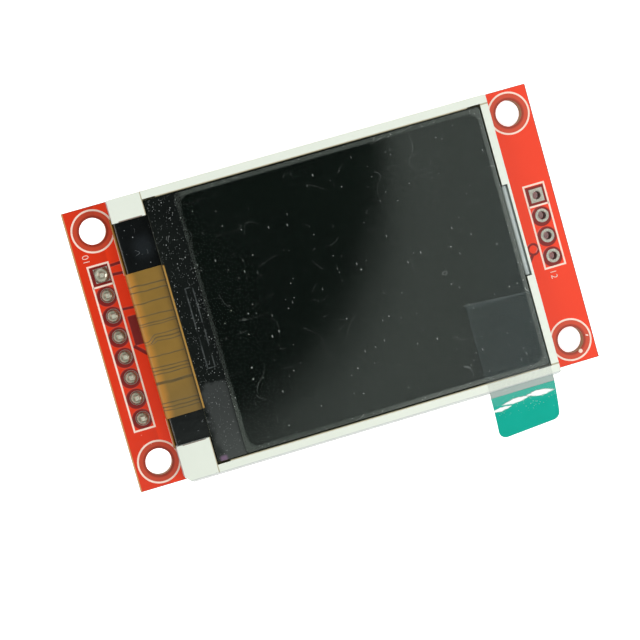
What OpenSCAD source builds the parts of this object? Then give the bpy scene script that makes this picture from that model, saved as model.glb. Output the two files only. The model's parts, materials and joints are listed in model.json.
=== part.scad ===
// Small colour display module: a circuit board that carries a backlit glass display on its front,
// a row of header pins at one end, a spare row of plated holes at the other, and a card socket
// with its few small parts on the back.
// Frame: origin at the centre of the four mounting holes on the board's back face,
// +X along the board from the pin header to the spare row, +Y across it, +Z out of the display.

/* [Board] */
// Length of the circuit board
board_l = 58.2; // [56:0.1:70]
// Width of the circuit board
board_w = 34.5; // [33.5:0.1:42]
// Thickness of the circuit board
board_t = 1.6; // [1:0.1:2.4]
// Distance between the mounting holes along the board
hole_dx = 52.3; // [50.5:0.1:53]
// Distance between the mounting holes across the board
hole_dy = 28.6; // [27:0.1:29.5]
// Diameter of a mounting hole
hole_d = 3.2; // [2:0.1:3.6]
// Distance from the left mounting holes to the board's left edge
hole_edge = 3.05; // [2.6:0.05:3.4]

/* [Pin rows] */
// Pitch of both pin rows
pitch = 2.54; // [2:0.01:2.54]
// Number of pins in the header
header_n = 8; // [4:1:9]
// Distance from the header row to the board's left edge
header_edge = 2.64; // [2.2:0.01:3]
// Number of holes in the spare row
spare_n = 4; // [2:1:6]
// Distance from the spare row to the board's right edge
spare_edge = 2.2; // [1.8:0.05:2.6]
// Side of a square header pin
pin_w = 0.64; // [0.4:0.02:0.64]
// Inner diameter of a plated hole
plated_d = 1.0; // [0.95:0.01:1.2]
// Diameter of a header pad
header_pad_d = 1.72; // [1.5:0.02:1.9]
// Diameter of a spare pad
spare_pad_d = 1.66; // [1.5:0.02:1.9]
// Thickness of pads and of the plating in the holes
plating_t = 0.05; // [0.03:0.01:0.08]
// Height of a solder dome over its pad
dome_h = 0.72; // [0.5:0.02:0.9]
// Height of the header's plastic strip
strip_h = 2.54; // [2:0.01:3]
// Length of a pin below the plastic strip
pin_below = 6.0; // [4:0.1:8]
// Height of a pin above the board
pin_above = 0.86; // [0.7:0.02:1.4]
// Length of the taper on a pin's end
pin_taper = 0.5; // [0.3:0.05:0.8]

/* [Display frame] */
// Length of the moulded display frame
frame_l = 47.2; // [45:0.1:50]
// Width of the moulded display frame
frame_w = 34.7; // [33:0.1:36]
// Shift of the display along the board, from the hole pattern's centre
frame_shift = -0.2; // [-0.4:0.05:0.4]
// Width of the frame's long rails
long_rail = 1.11; // [0.9:0.01:1.6]
// Width of the frame's right end rail
end_rail = 0.95; // [0.9:0.01:1.6]
// Length of the two arms at the frame's left end
arm_l = 4.13; // [3.8:0.01:4.6]
// Width of the upper arm
upper_arm_w = 2.86; // [2:0.02:3.2]
// Width of the lower arm
lower_arm_w = 4.42; // [2:0.02:4.6]
// Width of the inner step that carries the glass
step_w = 0.7; // [0.5:0.05:1]
// Width of the wall slope at the foot of the frame's lower long side
draft_w = 0.5; // [0.2:0.05:0.7]
// Length of the filling recess in the right rail
recess_l = 11.35; // [8:0.05:14]
// Position of the filling recess's centre across the frame
recess_y = 0.55; // [-1:0.05:1]
// Thickness of the outer lip left beside the filling recess
recess_lip = 0.3; // [0.25:0.01:0.5]
// Thickness of the foam tape under the display
foam_t = 0.25; // [0.25:0.01:0.6]

/* [Backlight] */
// Thickness of the reflector sheet
reflector_t = 0.1; // [0.06:0.01:0.15]
// Thickness of the light guide
guide_t = 0.6; // [0.6:0.05:1]
// Thickness of the diffuser sheet
diffuser_t = 0.08; // [0.05:0.01:0.12]
// Thickness of one prism sheet
prism_t = 0.08; // [0.05:0.01:0.12]
// Thickness of the black rim tape
rim_t = 0.1; // [0.05:0.01:0.15]
// Width of the black rim tape seen inside the light guide's edge
rim_in = 1.1; // [0.6:0.05:1.5]
// Number of light-emitting diodes
led_n = 3; // [2:1:4]
// Pitch of the light-emitting diodes
led_pitch = 7.5; // [4.5:0.1:7.5]

/* [Glass cell] */
// Thickness of each glass plate
glass_t = 0.5; // [0.4:0.05:0.7]
// Length of the front glass that stands past the rear glass
ledge_l = 3.45; // [3:0.05:4]
// Thickness of a polariser
polariser_t = 0.2; // [0.1:0.01:0.25]
// Inset of the front polariser from the glass edge
polariser_inset = 0.5; // [0.3:0.05:0.9]
// Corner radius of the front polariser
polariser_r = 1.2; // [0.5:0.1:2]
// Clearance round the glass in its frame
cell_gap = 0.14; // [0.08:0.01:0.25]
// Length of the driver chip
chip_l = 10; // [8:0.1:14]
// Width of the driver chip
chip_w = 0.9; // [0.7:0.05:1.1]
// Thickness of the driver chip
chip_t = 0.4; // [0.3:0.05:0.5]

/* [Flex cable] */
// Width of the flex cable where it leaves the glass
flex_w = 17.8; // [14:0.1:20]
// Position of the flex cable's centre across the frame
flex_y = -0.6; // [-1.2:0.05:0.5]
// Width of the flex cable's folded tail
tail_w = 28.3; // [20:0.1:30]
// Position of the tail's centre across the frame
tail_y = 0.95; // [-1:0.05:1]
// Length of the tail under the display
tail_l = 9.6; // [7:0.1:10]
// Thickness of the flex cable
flex_t = 0.12; // [0.08:0.01:0.12]
// Thickness of the black tape under the flex cable
ledge_tape_t = 0.06; // [0.04:0.01:0.1]
// Number of contacts soldered at the tail's end
finger_n = 14; // [10:1:18]
// Pitch of those contacts
finger_pitch = 0.8; // [0.5:0.05:1]

/* [Film and pull tab] */
// Thickness of the protective film
film_t = 0.08; // [0.05:0.01:0.12]
// Width of the pull tab
tab_w = 8.1; // [5:0.1:10]
// Distance from the pull tab's right side to the frame's right end
tab_edge = 1.1; // [0.5:0.1:4]
// Length of the clear tape on the film
tape_l = 10.9; // [6:0.1:14]
// Reach of the pull tab past the frame
tab_reach = 6.0; // [4:0.1:8]
// Reach of the clear tape past the frame
tape_reach = 1.9; // [1.2:0.1:2.4]
// Thickness of the clear tape
tape_t = 0.06; // [0.04:0.01:0.1]
// Thickness of the pull tab
tab_t = 0.1; // [0.06:0.01:0.15]
// Radius on which the free tab droops
tab_bend_r = 15; // [10:0.5:30]

/* [Card socket] */
// Width of the card socket over its shell
socket_w = 28.2; // [27.6:0.1:29]
// Depth of the card socket
socket_d = 26.0; // [24:0.1:27]
// Height of the card socket
socket_h = 2.9; // [2.8:0.1:3.4]
// Shift of the socket along the board, from the hole pattern's centre
socket_shift = 0.3; // [-1:0.1:1]
// Distance from the card mouth to the board's lower edge
socket_edge = 0.6; // [0:0.1:1.5]
// Thickness of the socket's steel shell
shell_t = 0.2; // [0.15:0.01:0.3]
// Width of the card that fits
card_w = 24; // [23.5:0.1:24]
// Number of card contacts
contact_n = 9; // [7:1:9]
// Pitch of the card contacts
contact_pitch = 2.5; // [2:0.05:2.5]
// Width of a card contact
contact_w = 0.8; // [0.5:0.05:1]
// Thickness of a card contact
contact_t = 0.15; // [0.1:0.01:0.2]

/* [Small parts] */
// Length of the regulator's body
regulator_l = 2.9; // [2.6:0.1:3.2]
// Width of the regulator's body
regulator_w = 1.3; // [1.2:0.1:1.6]
// Height of the regulator's body
regulator_h = 1.0; // [0.8:0.1:1.2]
// Length of a chip capacitor
capacitor_l = 2.0; // [1.6:0.1:2.4]
// Length of a chip resistor
resistor_l = 1.6; // [1.4:0.1:2]

/* [Hidden] */
$fn = 48;
tiny = 0.01;
far = 100;

// Board outline and rows
board_x0 = -hole_dx / 2 - hole_edge;
board_x1 = board_x0 + board_l;
header_x = board_x0 + header_edge;
header_shift = 0.13;
spare_x = board_x1 - spare_edge;
plated_r = plated_d / 2;
drill_r = plated_r + plating_t;
fit_gap = 0.01;
dome_inset = 0.03;
first_dome = 1.35;
tip_hw = 0.28;
top_hw = 0.39;
strip_hw = 1.25;
strip_nick = 0.45;

// Levels of the display stack, from the board's front face upwards
frame_z = board_t + foam_t;
guide_z = frame_z + reflector_t;
diffuser_z = guide_z + guide_t;
lower_prism_z = diffuser_z + diffuser_t;
upper_prism_z = lower_prism_z + prism_t;
rim_z = upper_prism_z + prism_t;
rear_polariser_z = rim_z + rim_t;
rear_glass_z = rear_polariser_z + polariser_t;
front_glass_z = rear_glass_z + glass_t;
front_polariser_z = front_glass_z + glass_t;
film_z = front_polariser_z + polariser_t;
top_z = film_z + film_t;

// Frame outline and its pocket for the glass
frame_x0 = frame_shift - frame_l / 2;
frame_x1 = frame_shift + frame_l / 2;
frame_y1 = frame_w / 2;
pocket_x0 = frame_x0 + arm_l;
pocket_x1 = frame_x1 - end_rail;
pocket_y1 = frame_y1 - long_rail;
corner_relief = 0.13;
corner_relief_l = 1.6;
frame_corner_r = 0.25;
frame_chamfer = 0.6;
frame_base_rim = 0.6;

// Glass plates
glass_x0 = pocket_x0 + cell_gap + 0.06;
glass_x1 = pocket_x1 - cell_gap;
glass_y1 = pocket_y1 - cell_gap;
rear_x0 = glass_x0 + ledge_l;

// Backlight bay
guide_gap = 0.08;
bay_x1 = pocket_x1 - step_w;
bay_y1 = pocket_y1 - step_w;
led_l = 1.4;
led_w = 3.2;
led_t = guide_t - 0.05;
led_bay_x0 = pocket_x0 - 1.3;
led_bay_w = (led_n - 1) * led_pitch + led_w + 2;
guide_x0 = led_bay_x0 + led_l + 2 * guide_gap + 0.1;
reflector_x0 = guide_x0 - 0.3;
reflector_gap = 0.1;
strip_over = 0.6;
led_wall = 0.3;
led_lens = 0.2;
led_skin = 0.1;

// Sheets, tape and plates of the stack: corner radii, gaps, and how far each sheet stands back
sheet_r = 0.2;
sheet_step = 0.1;
plate_r = 0.3;
rim_gap = 0.1;
rim_inner_r = 0.5;
rear_polariser_inset = 0.3;
film_r = 0.4;
seal_end_gap = 0.15;
seal_gap = 0.02;
seal_crown = 0.3;
chip_gap = 0.75;
chip_y = -0.1;

// Flex cable: it leaves under the glass, crosses the saddle, folds round the end and runs back
flex_top = front_glass_z;
flex_bond = 1.05;
ledge_tape_gap = 0.1;
ledge_tape_over = 0.9;
flex_fold_r = 0.2;
flex_clear = 0.05;
flex_in_x = frame_x0 - flex_clear;
flex_out_x = flex_in_x - flex_t;
finger_t = 0.06;
finger_l = 1.6;
finger_gap = 0.1;
finger_w = finger_pitch / 2;
tail_z = board_t + finger_t;
tail_x1 = frame_x0 + tail_l;
saddle_z = flex_top - flex_t - ledge_tape_t;
saddle_inset = 0.2;
saddle_y0 = -frame_y1 + lower_arm_w;
saddle_y1 = frame_y1 - upper_arm_w;
tail_step_z = (tail_z + flex_top) / 2 + 0.25;

// Foam strips under the display
foam_x0 = tail_x1 + 1;
foam_x1 = frame_x1 - 2;
foam_w = 5;
foam_y = bay_y1 - foam_w / 2 - 1;

// Film and tab
film_over = 0.42;
tab_x1 = frame_x1 - tab_edge;
tab_x0 = tab_x1 - tab_w;
tab_y0 = -frame_y1;
tab_corner_r = 0.95;
arc_steps = 10;
tab_start = 0.75;
tab_slant = 0.45;
tab_taper = 0.25;

// Card socket, in its own frame: mouth at y = 0, board at z = 0, z away from the board
wall_gap = 0.03;
slot_hw = card_w / 2 + 0.15;
rail_out = socket_w / 2 - shell_t - wall_gap;
base_h = socket_h - shell_t - wall_gap;
floor_h = 0.45;
block_y = socket_d - 4.2;
block_end = socket_d - 0.2;
floor_y0 = 5;
peg_x = (slot_hw + rail_out) / 2;
peg_y = 11;
peg_r = [0.5, 0.7];
peg_l = board_t - 0.3;
peg_gap = 0.05;
contact_reach = 6;
shell_foot = 1.0;
shell_lift = 0.35;
shell_r = 0.4;
foot_w = 2;
foot_y = [3, socket_d - 7];
notch_w = 7;
notch_d = 2.2;
window_x = 8;
window_y = 9;
window = [3.8, 8];
tongue = [2.4, 6.6];
peep_r = 0.7;
peep_at = [3.2, socket_d - 3];
rail_y0 = 0.3;
lead_in = 1;
groove_y0 = 8.5;
groove_z = [0.8, 2.1];
tail_out = 1.2;
socket_y = -board_w / 2 + socket_edge;

// Small parts on the back: places are x, y and the turn of the long side
regulator_at = [-19.9, 11.3];
capacitor_at = [[-19.9, 7.6, 0], [-19.9, 14.8, 0]];
resistor_at = concat([for (i = [0:3]) [-20, 3 - 4 * i, 0]], [for (i = [0:3]) [19.6, 6 - 4 * i, 0]]);
capacitor_w = 1.25;
capacitor_h = 1.1;
resistor_w = 0.8;
resistor_h = 0.45;
end_over = 0.03;
capacitor_cap = 0.45;
resistor_cap = 0.3;
part_line = 0.4;
body_draft = 0.1;
lead_x = 0.95;
lead_w = 0.42;
lead_t = 0.14;
lead_out = 0.55;

// ---- shapes shared by several pieces ----

// Box between two corners
module block(a, b) {
  translate(a)
    cube(b - a);
}

// Rectangle between two corners with round corners of radius r
module round_rect(a, b, r) {
  translate([a.x + r, a.y])
    square([b.x - a.x - 2 * r, b.y - a.y]);
  translate([a.x, a.y + r])
    square([b.x - a.x, b.y - a.y - 2 * r]);
  for (x = [a.x + r, b.x - r], y = [a.y + r, b.y - r])
    translate([x, y])
      circle(r);
}

// A flat sheet between two corners, from height z upwards by t
module sheet(x0, x1, y1, z, t, r = sheet_r) {
  translate([0, 0, z])
    linear_extrude(t)
      round_rect([x0, -y1], [x1, y1], r);
}

// Places of the header pins and of the spare holes
module at_header() {
  for (i = [0:header_n - 1])
    translate([header_x, header_shift + ((header_n - 1) / 2 - i) * pitch, 0])
      let ($first = i == 0) children();
}
module at_spare() {
  for (i = [0:spare_n - 1])
    translate([spare_x, ((spare_n - 1) / 2 - i) * pitch, 0])
      let ($first = i == 0) children();
}
module at_holes() {
  for (x = [-hole_dx / 2, hole_dx / 2], y = [-hole_dy / 2, hole_dy / 2])
    translate([x, y, 0])
      children();
}

// Profile in X and Z drawn along Y over a width w
module along_y(w, y = 0) {
  translate([0, y + w / 2, 0])
    rotate([90, 0, 0])
      linear_extrude(w)
        children();
}

// Profile in Y and Z drawn along X over a width w
module along_x(w, x = 0) {
  translate([x - w / 2, 0, 0])
    rotate([90, 0, 90])
      linear_extrude(w)
        children();
}

// A ribbon of thickness t over a list of points
module ribbon(path, t) {
  n = len(path);
  polygon(concat(path, [for (i = [n - 1:-1:0]) path[i] + [0, t]]));
}

// The card socket's own frame on the board's back
module on_back() {
  mirror([0, 0, 1])
    children();
}
module at_socket() {
  on_back()
    translate([socket_shift, socket_y, 0])
      children();
}

// ---- board and pin rows ----

module printed_board() {
  color("firebrick")
    difference() {
      block([board_x0, -board_w / 2, 0], [board_x1, board_w / 2, board_t]);
      at_holes()
        translate([0, 0, -1])
          cylinder(h = board_t + 2, d = hole_d, $fn = 64);
      at_header()
        translate([0, 0, -1])
          cylinder(h = board_t + 2, r = drill_r);
      at_spare()
        translate([0, 0, -1])
          cylinder(h = board_t + 2, r = drill_r);
      for (i = [0, 1])
        translate([socket_shift + (2 * i - 1) * peg_x, socket_y + peg_y, -1])
          cylinder(h = board_t + 2, r = peg_r[i] + peg_gap);
    }
}

// A plated hole: a pad on each face and the tube that joins them
module plated_hole(pad_d, is_square) {
  difference() {
    union() {
      translate([0, 0, -plating_t])
        cylinder(h = board_t + 2 * plating_t, r = drill_r - fit_gap / 2);
      for (z = [-plating_t, board_t])
        translate([0, 0, z])
          if (is_square)
            linear_extrude(plating_t)
              square(pad_d, center = true);
          else
            cylinder(h = plating_t, d = pad_d);
    }
    translate([0, 0, -1])
      cylinder(h = board_t + 2, r = plated_r);
  }
}

module header_pads() {
  color("peru")
    at_header()
      plated_hole(header_pad_d, $first);
}

module plated_holes() {
  color("silver")
    at_spare()
      plated_hole(spare_pad_d, $first);
}

// Solder: a dome on the pad and the fill between the pin and the plating
module header_solder() {
  pad_top = board_t + plating_t;
  base_r = header_pad_d / 2 - dome_inset;
  ball_r = (base_r * base_r + dome_h * dome_h) / (2 * dome_h);
  color("darkgray")
    at_header()
      difference() {
        union() {
          intersection() {
            translate([0, 0, pad_top + dome_h - ball_r * ($first ? first_dome : 1)])
              sphere(ball_r * ($first ? first_dome : 1), $fn = 64);
            translate([0, 0, pad_top])
              if ($first)
                linear_extrude(dome_h)
                  round_rect([-base_r, -base_r], [base_r, base_r], sheet_r);
              else
                cylinder(h = dome_h, r = base_r);
          }
          translate([0, 0, -plating_t])
            cylinder(h = board_t + 2 * plating_t + tiny, r = plated_r - fit_gap / 2);
        }
        translate([-pin_w / 2, -pin_w / 2, -1])
          cube([pin_w, pin_w, board_t + 4]);
      }
}

// Outline of a pin seen from one side: tapered at both ends
module pin_side(z0, z1) {
  tip = pin_w * tip_hw;
  top = pin_w * top_hw;
  polygon([
    [-tip, z0], [tip, z0], [pin_w / 2, z0 + pin_taper], [pin_w / 2, z1 - pin_taper / 3],
    [top, z1], [-top, z1], [-pin_w / 2, z1 - pin_taper / 3], [-pin_w / 2, z0 + pin_taper]
  ]);
}

module header_pins() {
  z0 = -plating_t - strip_h - pin_below;
  z1 = board_t + pin_above;
  color("gold")
    at_header()
      intersection() {
        along_x(pin_w)
          pin_side(z0, z1);
        along_y(pin_w)
          pin_side(z0, z1);
      }
}

// The plastic strip: one eight-sided cell for each pin, joined end to end
module header_strip() {
  color("dimgray")
    difference() {
      union()
        at_header()
          translate([0, 0, -plating_t - strip_h])
            linear_extrude(strip_h)
              polygon([
                [-strip_hw, -pitch / 2 + strip_nick], [-strip_hw + strip_nick, -pitch / 2],
                [strip_hw - strip_nick, -pitch / 2], [strip_hw, -pitch / 2 + strip_nick],
                [strip_hw, pitch / 2 - strip_nick], [strip_hw - strip_nick, pitch / 2],
                [-strip_hw + strip_nick, pitch / 2], [-strip_hw, pitch / 2 - strip_nick]
              ]);
      at_header()
        translate([-pin_w / 2, -pin_w / 2, -far / 2])
          cube([pin_w, pin_w, far]);
    }
}

// ---- display frame and what it stands on ----

module mounting_foam() {
  color("whitesmoke")
    for (s = [-1, 1])
      block([foam_x0, s * foam_y - foam_w / 2, board_t], [foam_x1, s * foam_y + foam_w / 2, frame_z]);
}

// Outer outline of the frame with one corner cut off
module frame_outline() {
  difference() {
    round_rect([frame_x0, -frame_y1 - draft_w], [frame_x1, frame_y1], frame_corner_r);
    translate([frame_x0, -frame_y1 - draft_w])
      rotate(45)
        square(2 * (frame_chamfer + draft_w) / sqrt(2), center = true);
  }
}

module display_frame() {
  h = top_z - frame_z;
  slope = atan(draft_w / h);
  color("honeydew")
    difference() {
      translate([0, 0, frame_z])
        linear_extrude(h)
          frame_outline();
      // sloping wall along the lower long side
      translate([0, -frame_y1, top_z])
        rotate([-slope, 0, 0])
          translate([-far / 2, -far, -far / 2])
            cube([far, far, far]);
      // pocket for the glass, a little wider at its four corners
      block([pocket_x0, -pocket_y1, rim_z], [pocket_x1, pocket_y1, top_z + 1]);
      for (x = [pocket_x0, pocket_x1 - corner_relief_l])
        block([x, -pocket_y1 - corner_relief, rim_z],
          [x + corner_relief_l, pocket_y1 + corner_relief, top_z + 1]);
      // opening for the light guide and the sheets over it
      block([led_bay_x0 + led_l + guide_gap, -bay_y1, frame_z - 1], [bay_x1, bay_y1, top_z]);
      // bay for the diodes and the recess for their flex strip
      block([led_bay_x0, -led_bay_w / 2, frame_z - 1], [pocket_x0 + 1, led_bay_w / 2, top_z]);
      block([led_bay_x0 - strip_over, -led_bay_w / 2 - strip_over, frame_z - 1],
        [reflector_x0 - guide_gap / 2, led_bay_w / 2 + strip_over, guide_z]);
      // recess for the reflector
      block([reflector_x0 - guide_gap / 2, -frame_y1 + frame_base_rim, frame_z - 1],
        [frame_x1 - frame_base_rim, frame_y1 - frame_base_rim, guide_z]);
      // saddle between the arms, set back for the folded flex cable
      block([frame_x0 - 1, saddle_y0, saddle_z], [pocket_x0 + tiny, saddle_y1, top_z + 1]);
      block([frame_x0 - 1, saddle_y0, frame_z - 1], [frame_x0 + saddle_inset, saddle_y1, top_z + 1]);
      // filling recess in the right rail
      block([pocket_x1 - tiny, recess_y - recess_l / 2, rear_glass_z],
        [frame_x1 - recess_lip, recess_y + recess_l / 2, top_z + 1]);
    }
}

// ---- backlight ----

module reflector_sheet() {
  color("white")
    sheet(reflector_x0, frame_x1 - frame_base_rim - reflector_gap, frame_y1 - frame_base_rim - reflector_gap,
      frame_z, reflector_t);
}

module light_guide() {
  color("lightcyan")
    sheet(guide_x0, bay_x1 - guide_gap, bay_y1 - guide_gap, guide_z, guide_t);
}

module diffuser_sheet() {
  color("white")
    sheet(guide_x0 + 2 * sheet_step, bay_x1 - guide_gap, bay_y1 - guide_gap, diffuser_z, diffuser_t);
}

module lower_prism_sheet() {
  color("gainsboro")
    sheet(guide_x0 + 3 * sheet_step, bay_x1 - guide_gap, bay_y1 - guide_gap, lower_prism_z, prism_t);
}

module upper_prism_sheet() {
  color("gainsboro")
    sheet(guide_x0 + 4 * sheet_step, bay_x1 - guide_gap, bay_y1 - guide_gap, upper_prism_z, prism_t);
}

module backlight_flex() {
  color("goldenrod")
    block([led_bay_x0 - strip_over + reflector_gap, -led_bay_w / 2 - strip_over + reflector_gap, frame_z],
      [reflector_x0 - guide_gap, led_bay_w / 2 + strip_over - reflector_gap, guide_z]);
}

module backlight_leds() {
  color("lightyellow")
    for (i = [0:led_n - 1])
      translate([led_bay_x0 + guide_gap / 2, (i - (led_n - 1) / 2) * led_pitch, guide_z])
        difference() {
          translate([0, -led_w / 2, 0])
            cube([led_l, led_w, led_t]);
          translate([led_l - led_lens, -led_w / 2 + led_wall, led_skin])
            cube([1, led_w - 2 * led_wall, led_t - 2 * led_skin]);
        }
}

// Black tape ring between the sheets and the glass
module rim_tape() {
  color("black")
    translate([0, 0, rim_z])
      linear_extrude(rim_t)
        difference() {
          round_rect([pocket_x0 + rim_gap, -pocket_y1 + rim_gap],
            [pocket_x1 - rim_gap, pocket_y1 - rim_gap], plate_r);
          round_rect([rear_x0 + rim_in, -bay_y1 + rim_in], [bay_x1 - rim_in, bay_y1 - rim_in],
            rim_inner_r);
        }
}

// ---- glass cell ----

module rear_polariser() {
  color("darkslategray")
    sheet(rear_x0 + rear_polariser_inset, glass_x1 - rear_polariser_inset,
      glass_y1 - rear_polariser_inset, rear_polariser_z, polariser_t, plate_r);
}

module rear_glass() {
  color("slategray")
    sheet(rear_x0, glass_x1, glass_y1, rear_glass_z, glass_t);
}

module front_glass() {
  color("darkslategray")
    sheet(glass_x0, glass_x1, glass_y1, front_glass_z, glass_t, plate_r);
}

// Bead of resin that lies in the filling recess, against the glass, with a rounded top
module fill_seal() {
  seal_x1 = frame_x1 - recess_lip - seal_gap;
  seal_hw = (seal_x1 - glass_x1) / 2;
  shoulder_z = top_z - seal_crown - seal_hw;
  color("lightsteelblue")
    translate([0, recess_y + recess_l / 2 - seal_end_gap, 0])
      rotate([90, 0, 0])
        linear_extrude(recess_l - 2 * seal_end_gap) {
          translate([glass_x1, rear_glass_z])
            square([2 * seal_hw, shoulder_z - rear_glass_z]);
          translate([glass_x1 + seal_hw, shoulder_z])
            circle(seal_hw);
        }
}

module front_polariser() {
  color("black")
    sheet(rear_x0 + polariser_inset, glass_x1 - polariser_inset, glass_y1 - polariser_inset,
      front_polariser_z, polariser_t, polariser_r);
}

module driver_chip() {
  color("dimgray")
    block([rear_x0 - chip_gap - chip_w, chip_y - chip_l / 2, front_glass_z - chip_t],
      [rear_x0 - chip_gap, chip_y + chip_l / 2, front_glass_z]);
}

// ---- flex cable ----

module ledge_tape() {
  color("black")
    translate([0, 0, saddle_z])
      linear_extrude(ledge_tape_t)
        round_rect([frame_x0 + saddle_inset + ledge_tape_gap, saddle_y0 + flex_clear],
          [glass_x0 + ledge_tape_over, saddle_y1 - flex_clear], flex_clear);
}

// Filled section enclosed by the folded cable, grown outwards by g
module fold_section(g) {
  r = flex_fold_r + g;
  x0 = flex_in_x - g;
  z0 = tail_z + flex_t - g;
  z1 = flex_top - flex_t + g;
  round_rect([x0, z0], [x0 + 40, z1], r);
}

// Cable section: a thin band that runs along the top, round the end and back underneath
module flex_section() {
  difference() {
    fold_section(flex_t);
    fold_section(0);
  }
}

module flex_cable() {
  color("darkgoldenrod") {
    // narrow stretch from the glass over the saddle to the fold
    intersection() {
      along_y(flex_w, flex_y)
        flex_section();
      block([flex_out_x - 1, -far, tail_step_z], [glass_x0 + flex_bond, far, top_z]);
    }
    // wide tail down the fold and back under the display
    intersection() {
      along_y(tail_w, tail_y)
        flex_section();
      block([flex_out_x - 1, -far, 0], [tail_x1, far, tail_step_z]);
    }
  }
}

module flex_contacts() {
  color("silver")
    for (i = [0:finger_n - 1])
      translate([tail_x1 - finger_l - finger_gap, tail_y + (i - (finger_n - 1) / 2) * finger_pitch, board_t])
        translate([0, -finger_w / 2, 0])
          cube([finger_l, finger_w, finger_t]);
}

// ---- film and pull tab ----

module protective_film() {
  color([0.8, 0.85, 0.85, 0.4])
    sheet(rear_x0 + polariser_inset - film_over, glass_x1 - polariser_inset + film_over,
      glass_y1 - polariser_inset + film_over, film_z, film_t, film_r);
}

// Section of a strip that lies on the frame and droops past it: r_in and r_out from the bend's centre
module droop_section(r_in, r_out) {
  translate([tab_y0, top_z - tab_bend_r])
    intersection() {
      difference() {
        circle(r_out, $fn = 180);
        circle(r_in, $fn = 180);
      }
      translate([-tab_bend_r * 1.5, 0])
        square([tab_bend_r * 1.5, tab_bend_r * 1.5]);
    }
}

module clear_tape() {
  y1 = tab_y0 + tape_l;
  color([0.85, 0.85, 0.85, 0.4]) {
    translate([0, 0, top_z])
      linear_extrude(tape_t)
        polygon([[tab_x0, tab_y0], [tab_x1, tab_y0], [tab_x1, y1 - tab_slant], [tab_x0, y1]]);
    intersection() {
      along_x(tab_w, (tab_x0 + tab_x1) / 2)
        droop_section(tab_bend_r, tab_bend_r + tape_t);
      block([tab_x0, tab_y0 - tape_reach, 0], [tab_x1, tab_y0 + tiny, top_z + 1]);
    }
  }
}

// Points of an arc round a centre
function arc(c, r, a0, a1) = [
  for (i = [0:arc_steps]) c + r * [cos(a0 + (a1 - a0) * i / arc_steps), sin(a0 + (a1 - a0) * i / arc_steps)]
];

// Outline of the tab seen from the front: a slanting free end with two round corners
module tab_outline() {
  start_y = tab_y0 - tab_start;
  end_y = tab_y0 - tab_reach;
  left = [tab_x0 + tab_corner_r, end_y + tab_corner_r];
  right = [tab_x1 - tab_taper - tab_corner_r, end_y + tab_slant + tab_corner_r];
  lean = atan2(right.y - left.y, right.x - left.x);
  side = atan2(tab_taper, start_y - right.y);
  polygon(concat(
    [[tab_x0, start_y]],
    arc(left, tab_corner_r, 180, 270 + lean),
    arc(right, tab_corner_r, 270 + lean, 360 - side),
    [[tab_x1, start_y]]
  ));
}

module pull_tab() {
  color("lightseagreen")
    intersection() {
      along_x(tab_w, (tab_x0 + tab_x1) / 2)
        droop_section(tab_bend_r - tab_t - fit_gap, tab_bend_r - fit_gap);
      linear_extrude(top_z + 1)
        tab_outline();
    }
}

// ---- card socket ----

module socket_base() {
  slot_x = contact_w + 2 * wall_gap;
  color("dimgray")
    at_socket()
      difference() {
        union() {
          // side rails, floor and the block that holds the contacts
          for (s = [-1, 1])
            translate([s * (slot_hw + rail_out) / 2 - (rail_out - slot_hw) / 2, rail_y0, 0])
              cube([rail_out - slot_hw, block_end - rail_y0, base_h]);
          block([-slot_hw - tiny, floor_y0, 0], [slot_hw + tiny, block_end, floor_h]);
          block([-slot_hw - tiny, block_y, 0], [slot_hw + tiny, block_end, base_h]);
          for (i = [0, 1])
            translate([(2 * i - 1) * peg_x, peg_y, -peg_l])
              cylinder(h = peg_l + tiny, r = peg_r[i]);
        }
        // one slot for each contact through the block, and a window under its spring
        for (i = [0:contact_n - 1])
          translate([(i - (contact_n - 1) / 2) * contact_pitch - slot_x / 2, 0, 0]) {
            translate([0, block_y - 1, floor_h - wall_gap])
              cube([slot_x, socket_d, contact_t + 2 * wall_gap]);
            translate([0, block_y - contact_reach, -1])
              cube([slot_x, contact_reach, floor_h + 2]);
          }
        // groove for the switch springs in one rail
        block([slot_hw - 1, groove_y0, groove_z[0]], [slot_hw + 1, socket_d, groove_z[1]]);
        // lead-in at the mouth of each rail
        for (s = [-1, 1])
          translate([s * slot_hw, rail_y0, -1])
            rotate(45)
              cube([lead_in, lead_in, 5 * socket_h], center = true);
      }
}

module socket_contacts() {
  z = floor_h;
  y1 = block_y;
  color("gold")
    at_socket()
      for (i = [0:contact_n - 1])
        along_x(contact_w, (i - (contact_n - 1) / 2) * contact_pitch)
          ribbon([
            [socket_d + tail_out, 0], [socket_d + 0.45, 0], [socket_d, z], [y1 - 0.4, z],
            [y1 - contact_reach + 1.3, z + 0.95], [y1 - contact_reach + 0.9, z + 1.0],
            [y1 - contact_reach + 0.2, z + 0.55]
          ], contact_t);
}

// Two leaf springs that feel the card and its lock slide
module socket_switch() {
  color("gold")
    at_socket()
      for (k = [0, 1])
        translate([slot_hw + 0.25 + 0.4 * k, 0, 1.0])
          linear_extrude(1.0)
            polygon([
              [0, socket_d + 0.9 - 0.3 * k], [0, floor_y0 + 8 - 2.5 * k], [-0.55, floor_y0 + 6.6 - 2.5 * k],
              [-0.1, floor_y0 + 5.3 - 1.6 * k], [0.02, floor_y0 + 5.4 - 1.6 * k],
              [-0.4, floor_y0 + 6.6 - 2.5 * k], [contact_t, floor_y0 + 8 - 2.5 * k],
              [contact_t, socket_d + 0.9 - 0.3 * k]
            ]);
}

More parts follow.
